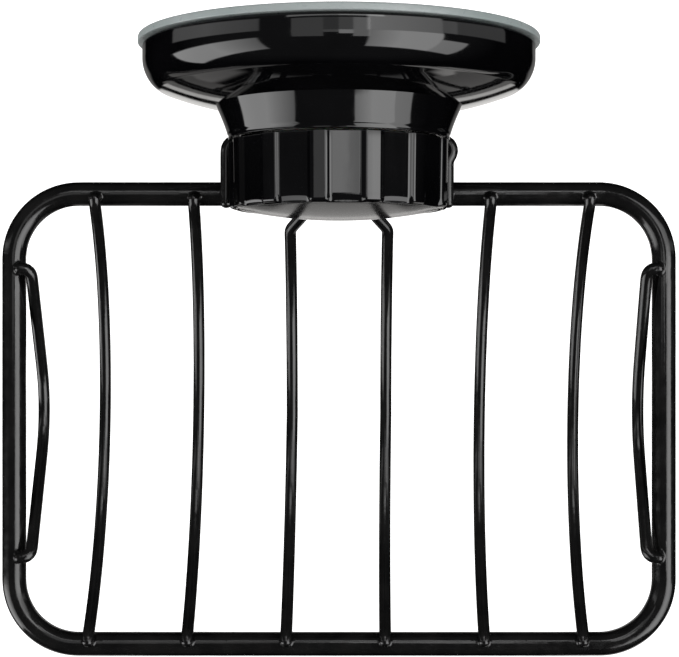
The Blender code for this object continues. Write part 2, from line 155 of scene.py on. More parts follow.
# Knob
knob_radius = 0.0221
knob_front_radius = 0.0219
knob_edge_round = 0.0003
land_front_drop = 0.0014
floor_front_drop = 0.0005
lip_recess = 0.0008
flute_foot = 0.0020
front_crowding = 1.5
land_roll_power = 8
floor_roll_power = 2
foot_power = 12
cap_crown = 0.0020
flute_count = 13
flute_depth = 0.0009
flute_first_deg = 3.6
flute_floor_half_deg = 7.4
flute_land_start_deg = 10.4
knob_wall = 0.0017
hub_radius = 0.015
hub_depth = 0.0218
nut_pocket_depth = 0.0238
nut_flats = 0.013
nut_chamfer = 0.0008
nut_chamfer_slope = 1.7
nut_groove_slope = 2.4
cap_seat_depth = 0.0334
cap_seat_wall = 0.0014

# Wires
wire_offset = rail_radius + gap + wire_radius
wire_height = frame_height + wire_offset
frame_corner = 0.014
frame_centre_depth = (back_rail_depth + front_rail_depth) / 2
frame_half_depth = (front_rail_depth - back_rail_depth) / 2
rib_count = 6
rib_spacing = 0.02125
rib_drop = 0.0178
rib_skew = 0.0015
rib_wrap_deg = 34
middle_ribs = (3, 4)
neck_half_width = 0.0047
kink_depth = 0.0363
side_inset = 0.00435
side_half_span = 0.031
side_centre_depth = 0.0760
side_drop_left = 0.0125
side_drop_right = 0.0080
side_bend = 0.012
side_end_bend = 0.0022
side_stub_inset = 0.0018
hanger_left = -0.02415
hanger_right = 0.02335
hanger_front_depth = 0.0311
hanger_back_depth = 0.0176
hanger_corner = 0.0024
hanger_bulge = 0.00095
hanger_bulge_length = 0.0022
wire_unevenness = 0.012
uneven_coarse = 220
uneven_fine = 700
wire_dome_share = 0.8

# Welds: how far they take in the wires, and the half sizes of the metal between the wires. Leans and
# rises are shares of a wire's radius, from its axis.
weld_reach = 0.0034
side_weld_reach = weld_reach + 0.0006
tongue_weld_reach = 0.0022
bow_weld_half = 0.005
weld_ease_rounds = 10
rib_fill = (0.0013, 0.0012, 0.0006)
side_fill = (0.0012, 0.0014, 0.0007)
hanger_fill = (0.0012, 0.0012, 0.0005)
tongue_fill = (0.0016, 0.0006, 0.0016)
bow_fill = (0.0042, 0.0004, 0.0009)
rib_fill_lean = 0.35
rib_fill_rise = 0.97
side_fill_lean = 0.55
side_fill_rise = 0.92
tongue_fill_lean = 0.4

# Studio. The camera is the photo's, and its place fits how the dish shrinks with distance.
camera_place = (0.00011, -0.0579, 0.343)
focal_pixels = 1715
image_width = 679
# The lamps that only light matt surfaces: name, place, width, height and radiance.
lamp_target = (0, -0.03, 0)
softboxes = (
    ("softbox_left", (-0.60, -0.10, 0.22), 0.60, 0.60, 3.0),
    ("softbox_right", (0.50, -0.10, 0.45), 0.60, 0.60, 3.0),
    ("strip_top", (0, 0.22, 0.60), 0.40, 0.05, 2.0),
)
# The reflected panels' limits are angles in degrees round toward +X and up toward +Y, then the
# softness of their edges both ways, and the radiance at their left and right ends.
panels = (
    (-112, -79, -41, -10.5, 2, 3, 3.0, 4.0),
    (-81, -47, -41, -10.5, 2, 3, 4.2, 1.7),
    (-110, -80, 7.5, 14, 2, 2, 0.65, 1.2),
    (-82, -45.5, 7.5, 14, 2, 2, 1.2, 0.85),
    (16, 61, 5, 22, 2, 3, 3.0, 1.9),
    (17, 36, -41, 6, 2, 3, 2.7, 4.5),
    (34, 61, -41, 6, 2, 3, 4.6, 4.3),
    (60, 79, -41, -10.5, 2, 3, 3.2, 2.7),
    (60, 71, 7.5, 14, 2, 2, 1.2, 1.2),
    (70, 110, 7.5, 14, 2, 2, 0.7, 0.4),
)
# The rest of the room: what is mirrored of it rises from black below to this radiance above.
room_reflected = 0.06
room_ramp = (-0.2, 0.3)
room_fill = 0.25
white = (1, 1, 1, 1)
# The small lamps beside the lens, at one height: their limits in X and in Y, and their radiance.
near_height = 0.25
near_lamps = (
    (-0.115, -0.035, -0.063, 0.043, 0.75),
    (-0.035, 0.0, -0.017, 0.012, 0.9),
    (-0.035, 0.0, 0.012, 0.043, 0.45),
    (0.0, 0.032, -0.032, 0.012, 3.0),
    (0.0, 0.032, 0.012, 0.043, 0.9),
    (0.032, 0.072, -0.063, 0.043, 2.0),
    (-0.13, 0.0, 0.060, 0.110, 2.0),
    (0.0, 0.11, 0.060, 0.110, 3.2),
)
# The floor, and the parts of it that the mouldings reflect, which glow only in reflections as painted light:
# limits in X and Y, softness of their edges, and brightness. The half bright patch under the knob is
# painted shade, standing in for the floor in the dish's shadow.
floor_half = 3.0
floor_drop = 0.20
floor_lift = 0.85
floor_lights = (
    (-0.085, 0.085, -0.045, 0.03, 0.010, 1.0),
    (-0.170, 0.170, -0.030, 0.05, 0.030, 0.22),
    (-0.036, 0.036, -0.200, -0.040, 0.010, 0.5),
    (-0.096, 0.096, -0.084, -0.066, 0.006, 0.9),
    (-0.110, 0.110, -0.125, -0.080, 0.012, 0.25),
    (0.063, 0.125, -0.215, -0.085, 0.008, 0.30),
    (0.086, 0.240, -0.420, -0.205, 0.010, 1.0),
    (-0.125, -0.070, -0.152, -0.085, 0.006, 0.22),
    (-0.260, -0.087, -0.470, -0.150, 0.010, 0.40),
)

# Fineness
turn_steps = 208
metal_steps = 96
flute_steps = 42
rail_sides = 32
wire_sides = 20
wire_step = 0.0006
weld_voxel = 0.00020


# Materials


def fill(tree, node, values):
    """Set a node's sockets to values, or link them where a value is a socket."""
    for key, value in values.items():
        if isinstance(value, bpy.types.NodeSocket):
            tree.links.new(value, node.inputs[key])
        else:
            node.inputs[key].default_value = value


def put(tree, kind, values, **options):
    """Add a node with its options and sockets set, and give its outputs."""
    node = tree.nodes.new("ShaderNode" + kind)
    for option, value in options.items():
        setattr(node, option, value)
    fill(tree, node, values)
    return node.outputs


def new_shader(name, colour, roughness, others):
    """Make a material and give it, its node tree and its shader."""
    made = bpy.data.materials.new(name)
    made.use_nodes = True
    shader = made.node_tree.nodes["Principled BSDF"]
    fill(made.node_tree, shader, {"Base Color": (*colour, 1), "Roughness": roughness, **others})
    return made, made.node_tree, shader


def noise_map(tree, scale, detail=3.0, stretch=(1, 1, 1)):
    """Give a noise whose scale is in features for each metre of the piece."""
    place = put(tree, "TexCoord", {})["Object"]
    spread = put(tree, "Mapping", {"Vector": place, "Scale": stretch})["Vector"]
    return put(tree, "TexNoise", {"Vector": spread, "Scale": scale, "Detail": detail})["Fac"]


def ranged(tree, value, low, high, start=0.35, end=0.65, kind="LINEAR"):
    """Spread a value that runs from start to end, such as a noise, between two others."""
    values = {"Value": value, "From Min": start, "From Max": end, "To Min": low, "To Max": high}
    return put(tree, "MapRange", values, interpolation_type=kind)["Result"]


def coloured(tree, shader, value, first, second):
    """Mix the shader's colour from two by a noise."""
    values = {"Factor": ranged(tree, value, 0, 1), "A": (*first, 1), "B": (*second, 1)}
    fill(tree, shader, {"Base Color": put(tree, "Mix", values, data_type="RGBA")["Result"]})


def roughened(tree, shader, value, low, high):
    """Vary the shader's roughness between two values by a noise."""
    fill(tree, shader, {"Roughness": ranged(tree, value, low, high)})


def bumped(tree, shader, *fields):
    """Stack bumps, each a noise with its height in metres, on a shader."""
    last = {}
    for field, height in fields:
        values = {"Strength": 1, "Distance": height, "Height": field, **last}
        last = {"Normal": put(tree, "Bump", values)["Normal"]}
    fill(tree, shader, last)


def speckle(tree, scale, size):
    """Give small round specks, 1 at the middle of each and 0 between them."""
    place = put(tree, "TexCoord", {})["Object"]
    cells = put(tree, "TexVoronoi", {"Vector": place, "Scale": scale})
    return ranged(tree, cells["Distance"], 1, 0, 0, size)


def moulded_black(name, roughness, wear=1.0):
    """Gloss black moulded plastic, with a faint wave of the mould's polish and fine wipe marks."""
    made, tree, shader = new_shader(name, (0.0016, 0.0016, 0.0019), roughness, {"IOR": 1.52})
    coloured(tree, shader, noise_map(tree, 90), (0.0012, 0.0012, 0.0015), (0.0022, 0.0022, 0.0026))
    wipe = noise_map(tree, 900, 4, (1, 0.12, 1))
    roughened(tree, shader, wipe, roughness * (1 - 0.25 * wear), roughness * (1 + 0.5 * wear))
    bumped(tree, shader, (noise_map(tree, 140, 1), 0.00001 * wear), (wipe, 0.0000006 * wear))
    return made


def coated_black(name):
    """Dip coated wire: gloss black with a soft orange peel and a few nibs of dust under the coat."""
    made, tree, shader = new_shader(name, (0.004, 0.004, 0.0042), 0.2, {"IOR": 1.5})
    coloured(tree, shader, noise_map(tree, 160), (0.003, 0.003, 0.0032), (0.0068, 0.0066, 0.0066))
    roughened(tree, shader, noise_map(tree, 420), 0.10, 0.20)
    peel = noise_map(tree, 620, 2)
    bumped(tree, shader, (peel, 0.000022), (speckle(tree, 230, 0.045), 0.00004))
    return made


def soft_pad_material():
    """Grey-green translucent plastic, cloudy and a little dusty."""
    made, tree, shader = new_shader("pad_soft_plastic", (0.42, 0.47, 0.47), 0.34, {
        "IOR": 1.45,
        "Subsurface Weight": 0.35,
        "Subsurface Radius": (1.0, 1.15, 1.1),
        "Subsurface Scale": 0.0012,
    })
    coloured(tree, shader, noise_map(tree, 60, 4), (0.255, 0.295, 0.29), (0.33, 0.355, 0.355))
    haze = noise_map(tree, 700, 4)
    roughened(tree, shader, haze, 0.26, 0.46)
    bumped(tree, shader, (noise_map(tree, 260, 2), 0.00002), (haze, 0.000004))
    return made


def turned_metal(name, light, dark, roughness):
    """Machined metal, streaked round its axis and a little stained."""
    made, tree, shader = new_shader(name, light, roughness, {"Metallic": 1.0})
    coloured(tree, shader, noise_map(tree, 500, 4), light, dark)
    streak = noise_map(tree, 3000, 3, (0.15, 1, 0.15))
    roughened(tree, shader, streak, roughness * 0.7, roughness * 1.5)
    bumped(tree, shader, (streak, 0.000003))
    return made


def nylon_material():
    """Natural nylon with a matt skin."""
    under = {"Subsurface Weight": 0.2, "Subsurface Scale": 0.0008}
    made, tree, shader = new_shader("washer_nylon", (0.78, 0.76, 0.70), 0.45, under)
    coloured(tree, shader, noise_map(tree, 300), (0.72, 0.70, 0.63), (0.82, 0.80, 0.75))
    roughened(tree, shader, noise_map(tree, 1200), 0.38, 0.55)
    bumped(tree, shader, (noise_map(tree, 1500, 2), 0.000006))
    return made


# Meshes


def new_object(name, data):
    """Make an object and link it to the scene."""
    made = bpy.data.objects.new(name, data)
    bpy.context.scene.collection.objects.link(made)
    return made


def add_piece(name, form, body, material, node):
    """Make a smooth piece that rides on a body and stands for a node."""
    verts, faces = form
    mesh = bpy.data.meshes.new(name)
    mesh.from_pydata(verts, [], faces)
    mesh.validate()
    shape = bmesh.new()
    shape.from_mesh(mesh)
    bmesh.ops.recalc_face_normals(shape, faces=shape.faces)
    shape.to_mesh(mesh)
    shape.free()
    finished(new_object(name, mesh), body, material, node)


def finished(piece, body, material, node=None, sharp_over_deg=40):
    """Shade a piece smooth and tie it to its body and node."""
    piece.data.materials.clear()
    piece.data.materials.append(material)
    piece.data.shade_smooth()
    piece.data.set_sharp_from_angle(angle=math.radians(sharp_over_deg))
    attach(piece, body)
    if node:
        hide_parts(node)
    return piece


def loft(rings, loop):
    """Join rings of equal count. A loop joins the last ring to the first, else the ends are closed."""
    count = len(rings[0])
    verts = [place for ring in rings for place in ring]
    faces = []
    spans = len(rings) if loop else len(rings) - 1
    for k in range(spans):
        low, high = k * count, (k + 1) % len(rings) * count
        for i in range(count):
            j = (i + 1) % count
            faces.append((low + i, low + j, high + j, high + i))
    if not loop:
        faces.append(tuple(reversed(range(count))))
        faces.append(tuple(range((len(rings) - 1) * count, len(rings) * count)))
    return verts, faces


def fanned(rings, first_tip, last_tip):
    """Join rings of equal count and close both ends with a fan round a tip."""
    verts, faces = loft(rings, False)
    del faces[-2:]
    count = len(rings[0])
    first, last = len(verts), len(verts) + 1
    verts += [first_tip, last_tip]
    top = (len(rings) - 1) * count
    for i in range(count):
        j = (i + 1) % count
        faces.append((first, j, i))
        faces.append((last, top + i, top + j))
    return verts, faces


def at(turn, radius, depth):
    """Give the place at an angle, in radians from the top toward +X, on the cup's axis."""
    return (radius * math.sin(turn), -depth, radius * math.cos(turn))


def full_turn(count):
    """List equal angles round the axis."""
    return [2 * math.pi * i / count for i in range(count)]


def bend(before, corner, after, size, count):
    """List the points of a bend at a corner, given the corners beside it."""
    start = corner + (before - corner).normalized() * size
    end = corner + (after - corner).normalized() * size
    steps = [k / count for k in range(count + 1)]
    return [start * (1 - t) ** 2 + corner * (2 * t * (1 - t)) + end * t**2 for t in steps]


def rounded(corners, count=4):
    """Round the corners of a profile of (radius, depth, size of the round)."""
    points = []
    last = len(corners) - 1
    for i, (r, d, size) in enumerate(corners):
        if size == 0 or i in (0, last):
            points.append((r, d))
            continue
        places = [Vector(corner[:2]) for corner in corners[i - 1:i + 2]]
        points += [tuple(point) for point in bend(*places, size, count)]
    return points


def turned(profile, count, loop=False):
    """Turn a profile about the cup's axis. Unless it is a loop, it starts and ends on the axis."""
    rings = [[at(a, r, d) for a in full_turn(count)] for r, d in profile]
    if loop:
        return loft(rings, True)
    return fanned(rings[1:-1], at(0, *profile[0]), at(0, *profile[-1]))


# Cup


def make_pad(material):
    """The pad, with its sealing lip, fine rings on the wall face and the boss round the stud."""
    corners = [
        (0, pad_floor, 0),
        (stud_pocket_radius, pad_floor, 0.0001),
        (stud_pocket_radius, stud_pocket_depth, 0.0001),
        (stud_radius + gap, stud_pocket_depth, 0.0001),
        (stud_radius + gap, pad_boss_depth, 0.0003),
        (pad_boss_radius, pad_boss_depth, 0.0008),
        (pad_boss_radius, pad_band, 0.0026),
        (pad_radius, pad_band, 0.0003),
        (pad_radius, 0, 0.0005),
        (pad_radius - pad_lip_width, 0, 0.0004),
        (pad_radius - pad_lip_width - pad_ring_width, pad_ring_depth, 0.0004),
    ]
    for radius in sorted(pad_ring_radii, reverse=True):
        corners += [
            (radius + 2 * pad_ring_width, pad_ring_depth, 0.0004),
            (radius + pad_ring_width, 0, 0.0003),
            (radius, 0, 0.0003),
            (radius - pad_ring_width, pad_ring_depth, 0.0004),
        ]
    corners[-1] = (pad_ring_radii[0] - pad_ring_width, 0, 0.0003)
    corners.append((0.0016, 0, 0.0003))
    corners.append((0.0011, pad_ring_depth, 0.0002))
    corners.append((0, pad_ring_depth, 0))
    add_piece("soft_pad", turned(rounded(corners), turn_steps), "cup", material, "suction_pad")


def bell_side():
    """List the bell's outer side from the neck's front to its rim, as (radius, depth)."""
    points = []
    steps = 16
    for i in range(steps + 1):
        t = i / steps
        flare = (crease_radius - neck_radius) * t**neck_flare_power
        points.append((neck_radius + flare, neck_depth + (crease_depth - neck_depth) * t))
    slope = (crease_depth - shoulder_depth) / (shoulder_radius - crease_radius)
    dome_steps = 10
    for i in range(1, dome_steps):
        t = i / dome_steps
        crown = crown_height * 4 * t * (1 - t)
        radius = crease_radius + (shoulder_radius - crease_radius) * t
        points.append((radius, crease_depth + (shoulder_depth - crease_depth) * t + crown))
    start = Vector((shoulder_radius, shoulder_depth))
    pull = start + Vector((1, -slope)) * shoulder_pull
    end = Vector((bell_radius, bend_end_depth))
    lift = end + Vector((0, bend_pull))
    bend_steps = 26
    for i in range(bend_steps + 1):
        t = i / bend_steps
        s = 1 - t
        points.append(tuple(start * s**3 + pull * (3 * s * s * t) + lift * (3 * s * t * t) + end * t**3))
    return points


def double_d(turn, radius, flat):
    """Give the radius at an angle of a round hole with two flats."""
    across = abs(math.cos(turn))
    return min(radius, flat / across) if across > 0.001 else radius


def make_bell(material):
    """The moulded bell with its keyed sleeve, the plate's recess and the notch in its lip."""
    notch_half = math.asin(tongue_half / recess_radius) + math.radians(swivel_deg) + gap / recess_radius
    notch_depth = recess_depth - notch_relief
    step = notch_edge_step / recess_radius
    edges = [math.pi + side * (notch_half + shift) for side in (-1, 1) for shift in (-step, step)]
    angles = sorted(full_turn(turn_steps) + edges)
    front = rounded([
        (keyed_bore, boss_depth, 0),
        (boss_radius, boss_depth, 0.0003),
        (boss_radius, recess_depth, 0.0002),
        (recess_radius, recess_depth, 0.0002),
        (recess_radius, neck_depth, 0.0002),
        (neck_radius, neck_depth, 0.00012),
        (neck_radius, neck_depth - neck_edge, 0),
    ])
    side = bell_side()[2:]
    inner = bell_radius - bell_wall
    back = rounded([
        (bell_radius, bell_rim_depth + 0.001, 0),
        (bell_radius, bell_rim_depth, 0.0004),
        (inner, bell_rim_depth, 0.0004),
        (inner, bell_straight_depth - bell_wall / 2, 0.0012),
        (shoulder_radius - bell_wall / 2, shoulder_depth - bell_wall, 0.0012),
        (crease_radius - bell_wall, crease_depth - bell_wall, 0.001),
        (neck_radius - bell_wall, web_depth, 0.0008),
        (sleeve_radius, web_depth, 0.0006),
        (sleeve_radius, sleeve_depth, 0.0003),
        (keyed_bore, sleeve_depth, 0),
    ])
    profile = front + side + back
    rings = []
    last = len(profile) - 1
    for k, (r, d) in enumerate(profile):
        ring = []
        for a in angles:
            radius = double_d(a, keyed_bore, keyed_flat) if k in (0, last) else r
            depth = d
            if r > recess_radius - recess_margin and abs(a - math.pi) < notch_half:
                depth = min(d, notch_depth)
            ring.append(at(a, radius, depth))
        rings.append(ring)
    add_piece("cup_bell", loft(rings, True), "cup", material, "bell_housing")


def make_stud(material):
    """The stud with its rolled thread, cut by the two key flats."""
    angles = full_turn(metal_steps)
    rings = []
    for r, d in rounded([
        (stud_end_radius, stud_flange_back, 0),
        (stud_flange_radius, stud_flange_back, 0.0003),
        (stud_flange_radius, stud_flange_front, 0.0003),
        (stud_radius, stud_flange_front, 0.0004),
        (stud_radius, pad_boss_depth, 0),
        (stud_radius, pad_boss_depth + 0.00005, 0),
        (stud_radius, stud_thread_start, 0),
    ]):
        rings.append([at(a, double_d(a, r, stud_flat) if r <= stud_radius and d > pad_boss_depth else r, d)
                      for a in angles])
    end = -stud_low.y
    steps = 150
    for i in range(1, steps + 1):
        depth = stud_thread_start + (end - stud_thread_start) * i / steps
        ring = []
        for a in angles:
            phase = (depth / thread_pitch - a / (2 * math.pi)) % 1
            cut = stud_groove_slope * (1 - abs(2 * phase - 1)) - stud_crest_share
            groove = thread_height * min(1, max(0, cut))
            fade = min(1, (end - depth) / thread_run_out, (depth - stud_thread_start) / thread_run_in)
            tip = max(0, stud_tip_chamfer - (end - depth)) * stud_tip_slope
            radius = stud_radius - groove * max(0, fade) - tip
            ring.append(at(a, double_d(a, radius, stud_flat), depth))
        rings.append(ring)
    rings.append([at(a, stud_end_radius, end) for a in angles])
    add_piece("threaded_stud", loft(rings, False), "stud", material, "pad_stud")


# Knob


def flute(turn):
    """Give how deep the flutes are at an angle: 1 mid-floor, less at its sides and 0 on a land."""
    pitch = 2 * math.pi / flute_count
    turns = (turn - math.radians(flute_first_deg)) / pitch + 0.5
    away = abs(turns % 1 - 0.5) * pitch
    floor_half = math.radians(flute_floor_half_deg)
    land_start = math.radians(flute_land_start_deg)
    flat = (knob_radius - flute_depth) * (1 / math.cos(min(away, floor_half)) - 1) / flute_depth
    climb = min(max((away - floor_half) / (land_start - floor_half), 0), 1)
    return (1 - flat) * (1 - climb * climb * (3 - 2 * climb))


def hexagon_radius(turn, flats):
    """Give the radius of a hexagon at an angle, with a corner toward +X."""
    sector = math.pi / 3
    within = (math.pi / 2 - turn) % sector - sector / 2
    return flats / 2 / math.cos(within)


def knob_outside():
    """List the knob's outer side from back to front: radius, depth and share of the flutes."""
    points = []
    back_steps = 5
    for i in range(back_steps):
        lean = math.pi / 2 * i / back_steps
        drop = knob_edge_round / 4 * (1 - math.sin(lean)) ** 2
        depth = knob_back + knob_edge_round / 2 * i / back_steps
        points.append((knob_radius - drop, depth, 1))
    start = knob_back + knob_edge_round / 2
    front = knob_depth - lip_recess
    end = front - flute_foot
    body_steps = 8
    for i in range(body_steps + 1):
        t = i / body_steps
        points.append((knob_radius + (knob_front_radius - knob_radius) * t, start + (end - start) * t, 1))
    front_steps = 22
    for i in range(1, front_steps + 1):
        u = i / front_steps
        t = (1 - u) ** front_crowding
        # The lands roll over late and tightly, and the floors slope in early and gently.
        land = land_front_drop * (1 - t) ** land_roll_power
        floor = floor_front_drop * (1 - t) ** floor_roll_power
        share = (flute_depth + floor - land) * (1 - (1 - t) ** foot_power) / flute_depth
        points.append((knob_front_radius - land, front - flute_foot * t, max(share, 0)))
    return points


def make_knob(material):
    """The knob as one shell: fluted outside, cap seat, nut pocket, bore, hub and hollow back."""
    angles = full_turn(flute_count * flute_steps)
    rings = []
    for r, d, share in knob_outside():
        rings.append([at(a, r - flute_depth * share * flute(a), d) for a in angles])
    seat = cap_radius + gap
    lip = rounded([
        (knob_front_radius - land_front_drop, knob_depth - lip_recess, 0),
        (seat, knob_depth - lip_recess, 0.00004),
        (seat, cap_seat_depth, 0.0002),
        (nut_flats / 2 * 1.3, cap_seat_depth, 0),
    ])
    rings += [[at(a, r, d) for a in angles] for r, d in lip[1:]]
    flats = nut_flats + 2 * gap
    for depth in (cap_seat_depth, nut_pocket_depth):
        rings.append([at(a, hexagon_radius(a, flats), depth) for a in angles])
    hollow = knob_radius - flute_depth - knob_wall
    floor = cap_seat_depth - cap_seat_wall
    inside = rounded([
        (stud_radius + gap, nut_pocket_depth, 0),
        (stud_radius + gap, hub_depth, 0.0002),
        (hub_radius, hub_depth, 0.0004),
        (hub_radius, floor, 0.0006),
        (hollow, floor, 0.0008),
        (hollow, knob_back, 0.0003),
        (knob_radius - flute_depth * 1.1, knob_back, 0),
    ])
    rings += [[at(a, r, d) for a in angles] for r, d in inside]
    add_piece("fluted_knob", loft(rings, True), "knob", material, "locking_knob")


def make_cap(material):
    """The crowned disc in the knob's front."""
    edge = 0.0004
    steps = 24
    low = knob_depth - lip_recess
    points = []
    for i in range(steps):
        t = i / steps
        points.append(((cap_radius - edge) * t, low + cap_crown * (1 - t**2)))
    rim = rounded([
        (cap_radius - edge, low, 0),
        (cap_radius, low - 0.0001, 0.0002),
        (cap_radius, cap_back, 0.0002),
        (cap_radius - edge, cap_back, 0),
    ])
    disc = turned(points + rim + [(0, cap_back)], turn_steps)
    add_piece("knob_cap", disc, "knob", material, "knob_face_cap")


def make_washer(material):
    """The plain washer with softened edges."""
    radius = washer_high.x
    back, front = -washer_high.y, -washer_low.y
    bore = stud_radius + gap
    edge = 0.0002
    corners = [
        (bore, (back + front) / 2, 0),
        (bore, front, edge),
        (radius, front, edge),
        (radius, back, edge),
        (bore, back, edge),
        (bore, (back + front) / 2, 0),
    ]
    ring = turned(rounded(corners)[:-1], metal_steps, loop=True)
    add_piece("nylon_washer", ring, "knob", material, "thrust_washer")


def make_nut(material):
    """The hex nut with turned chamfers and a threaded bore."""
    angles = full_turn(metal_steps)
    back, front = -nut_high.y, -nut_low.y
    corner = nut_flats / 2 / math.cos(math.pi / 6)
    rings = []
    outer_steps = 12
    for i in range(outer_steps + 1):
        depth = back + (front - back) * i / outer_steps
        inset = max(0, nut_chamfer - min(depth - back, front - depth)) * nut_chamfer_slope
        rings.append([at(a, min(hexagon_radius(a, nut_flats), corner - inset), depth) for a in angles])
    bore = stud_radius + gap
    bore_steps = 60
    for i in range(bore_steps + 1):
        depth = front + (back - front) * i / bore_steps
        ring = []
        for a in angles:
            phase = (depth / thread_pitch - a / (2 * math.pi)) % 1
            groove = thread_height * max(0, 1 - nut_groove_slope * abs(phase - 0.5))
            ring.append(at(a, bore + groove, depth))
        rings.append(ring)
    add_piece("hex_nut", loft(rings, True), "knob", material, "knob_nut")


# Basket


def arc(centre, radii, start_deg, end_deg, count):
    """List points round part of an ellipse."""
    points = []
    for i in range(count + 1):
        angle = math.radians(start_deg + (end_deg - start_deg) * i / count)
        points.append((centre[0] + radii[0] * math.cos(angle), centre[1] + radii[1] * math.sin(angle)))
    return points


def make_plate(material):
    """The stamped plate: a ring with a tongue, its edges a little rounded."""
    edge = 0.00018
    foot = math.degrees(math.asin(tongue_half / plate_radius))
    radius = plate_radius - edge
    outline = arc((0, 0), (radius, radius), -90 + foot, 270 - foot, 72)
    half = tongue_half - edge
    rounds = (tongue_round, tongue_round)
    base = -tongue_reach + tongue_round + edge
    outline += arc((-half + tongue_round, base), rounds, 180, 270, 8)
    outline += arc((half - tongue_round, base), rounds, 270, 360, 8)
    hole_radius = boss_radius + gap + edge
    hole = arc((0, 0), (hole_radius, hole_radius), 360, 0, 48)[:-1]
    curve = bpy.data.curves.new("stamped_plate", "CURVE")
    curve.dimensions = "2D"
    curve.fill_mode = "BOTH"
    curve.extrude = (plate_front - plate_back) / 2 - edge
    curve.bevel_depth = edge
    curve.bevel_resolution = 2
    for points in (outline, hole):
        spline = curve.splines.new("POLY")
        spline.points.add(len(points) - 1)
        for point, (x, y) in zip(spline.points, points):
            point.co = (x, y, 0, 1)
        spline.use_cyclic_u = True
    source = new_object("plate_curve", curve)
    source.rotation_euler = (math.radians(90), 0, 0)
    source.location = (0, -(plate_back + plate_front) / 2, 0)
    piece = as_mesh(source, "stamped_plate")
    finished(piece, "basket", material, "hanger_plate")


def as_mesh(source, name):
    """Turn an object into a plain mesh piece at its place in the world."""
    bpy.context.view_layer.update()
    seen = source.evaluated_get(bpy.context.evaluated_depsgraph_get())
    mesh = bpy.data.meshes.new_from_object(seen)
    mesh.transform(source.matrix_world)
    bpy.data.objects.remove(source)
    mesh.name = name
    return new_object(name, mesh)


def resampled(path, step, closed=False):
    """Space the points of a path evenly."""
    points = [Vector(p) for p in path]
    if closed:
        points.append(points[0])
    lengths = [0]
    for a, b in zip(points, points[1:]):
        lengths.append(lengths[-1] + (b - a).length)
    count = max(2, round(lengths[-1] / step))
    spaced = []
    k = 0
    for i in range(count + (0 if closed else 1)):
        want = lengths[-1] * i / count
        while k < len(points) - 2 and lengths[k + 1] < want:
            k += 1
        share = (want - lengths[k]) / (lengths[k + 1] - lengths[k])
        spaced.append(points[k].lerp(points[k + 1], share))
    return spaced


def smoothed(points, closed):
    """Ease the corners between the points of a path."""
    eased = []
    for i, point in enumerate(points):
        if not closed and i in (0, len(points) - 1):
            eased.append(point)
            continue
        before, after = points[i - 1], points[(i + 1) % len(points)]
        eased.append(point * 0.5 + (before + after) * 0.25)
    return eased


def tube(points, radius, sides, closed=False, wobble=wire_unevenness):
    """Sweep a slightly uneven round wire along a path, with domed ends."""
    count = len(points)
    rings = []
    side = None
    for i, point in enumerate(points):
        before = points[i - 1] if closed or i > 0 else point
        after = points[(i + 1) % count] if closed or i < count - 1 else point
        along = (after - before).normalized()
        if side is None:
            side = along.cross(Vector((0, 0, 1)))
            if side.length < 0.1:
                side = along.cross(Vector((0, 1, 0)))
        side = (side - along * side.dot(along)).normalized()
        up = along.cross(side)
        ring = []
        for a in full_turn(sides):
            out = side * math.cos(a) + up * math.sin(a)
            place = point + out * radius
            uneven = noise.noise(place * uneven_coarse) + 0.5 * noise.noise(place * uneven_fine)
            ring.append(point + out * radius * (1 - wobble * (uneven * 0.5 + 0.5)))
        rings.append((ring, point, along))
    middle = [ring for ring, _, _ in rings]
    if closed:
        return loft(middle, True)
    dome = radius * wire_dome_share
    dome_steps = 5
    ends = []
    for way, (ring, point, along) in ((-1, rings[0]), (1, rings[-1])):
        shells = []
        for k in range(1, dome_steps):
            lean = math.pi / 2 * k / dome_steps
            push = along * (dome * math.sin(lean)) * way
            shells.append([point + push + (Vector(p) - point) * math.cos(lean) for p in ring])
        ends.append((shells, point + along * dome * way))
    (start, start_tip), (end, end_tip) = ends
    return fanned(start[::-1] + middle + end, start_tip, end_tip)


def wire_piece(name, path, radius, sides, material, node, closed=False):
    """Make one wire of the basket. Its domed ends stay within the length of the path."""
    points = smoothed(resampled(path, wire_step, closed), closed)
    if not closed:
        points = points[1:-1]
    add_piece(name, tube(points, radius, sides, closed), "basket", material, node)


def frame_path():
    """List the rail's rounded loop."""
    points = []
    x = frame_half_width - frame_corner
    y = frame_half_depth - frame_corner
    radii = (frame_corner, frame_corner)
    for side, end, start in ((1, 1, 0), (-1, 1, 90), (-1, -1, 180), (1, -1, 270)):
        centre = (side * x, end * y - frame_centre_depth)
        points += arc(centre, radii, start, start + 90, 24)
    return [(px, py, frame_height) for px, py in points]


def rib_profile(count):
    """List the back half of a rib as (way back from the tray's middle, height)."""
    radius = (frame_half_depth**2 + rib_drop**2 - wire_offset**2) / (2 * (rib_drop + wire_offset))
    centre_height = frame_height + radius - rib_drop
    lean = math.asin(frame_half_depth / (radius + wire_offset))
    points = []
    for i in range(count + 1):
        angle = lean * i / count
        points.append((radius * math.sin(angle), centre_height - radius * math.cos(angle)))
    return points, lean


def over_rail(lean, end_lean, count):
    """List points of a wire bent round the top of a rail, from one lean to another."""
    points = []
    for i in range(1, count + 1):
        angle = lean + (end_lean - lean) * i / count
        back = frame_half_depth - wire_offset * math.sin(angle)
        points.append((back, frame_height + wire_offset * math.cos(angle)))
    return points


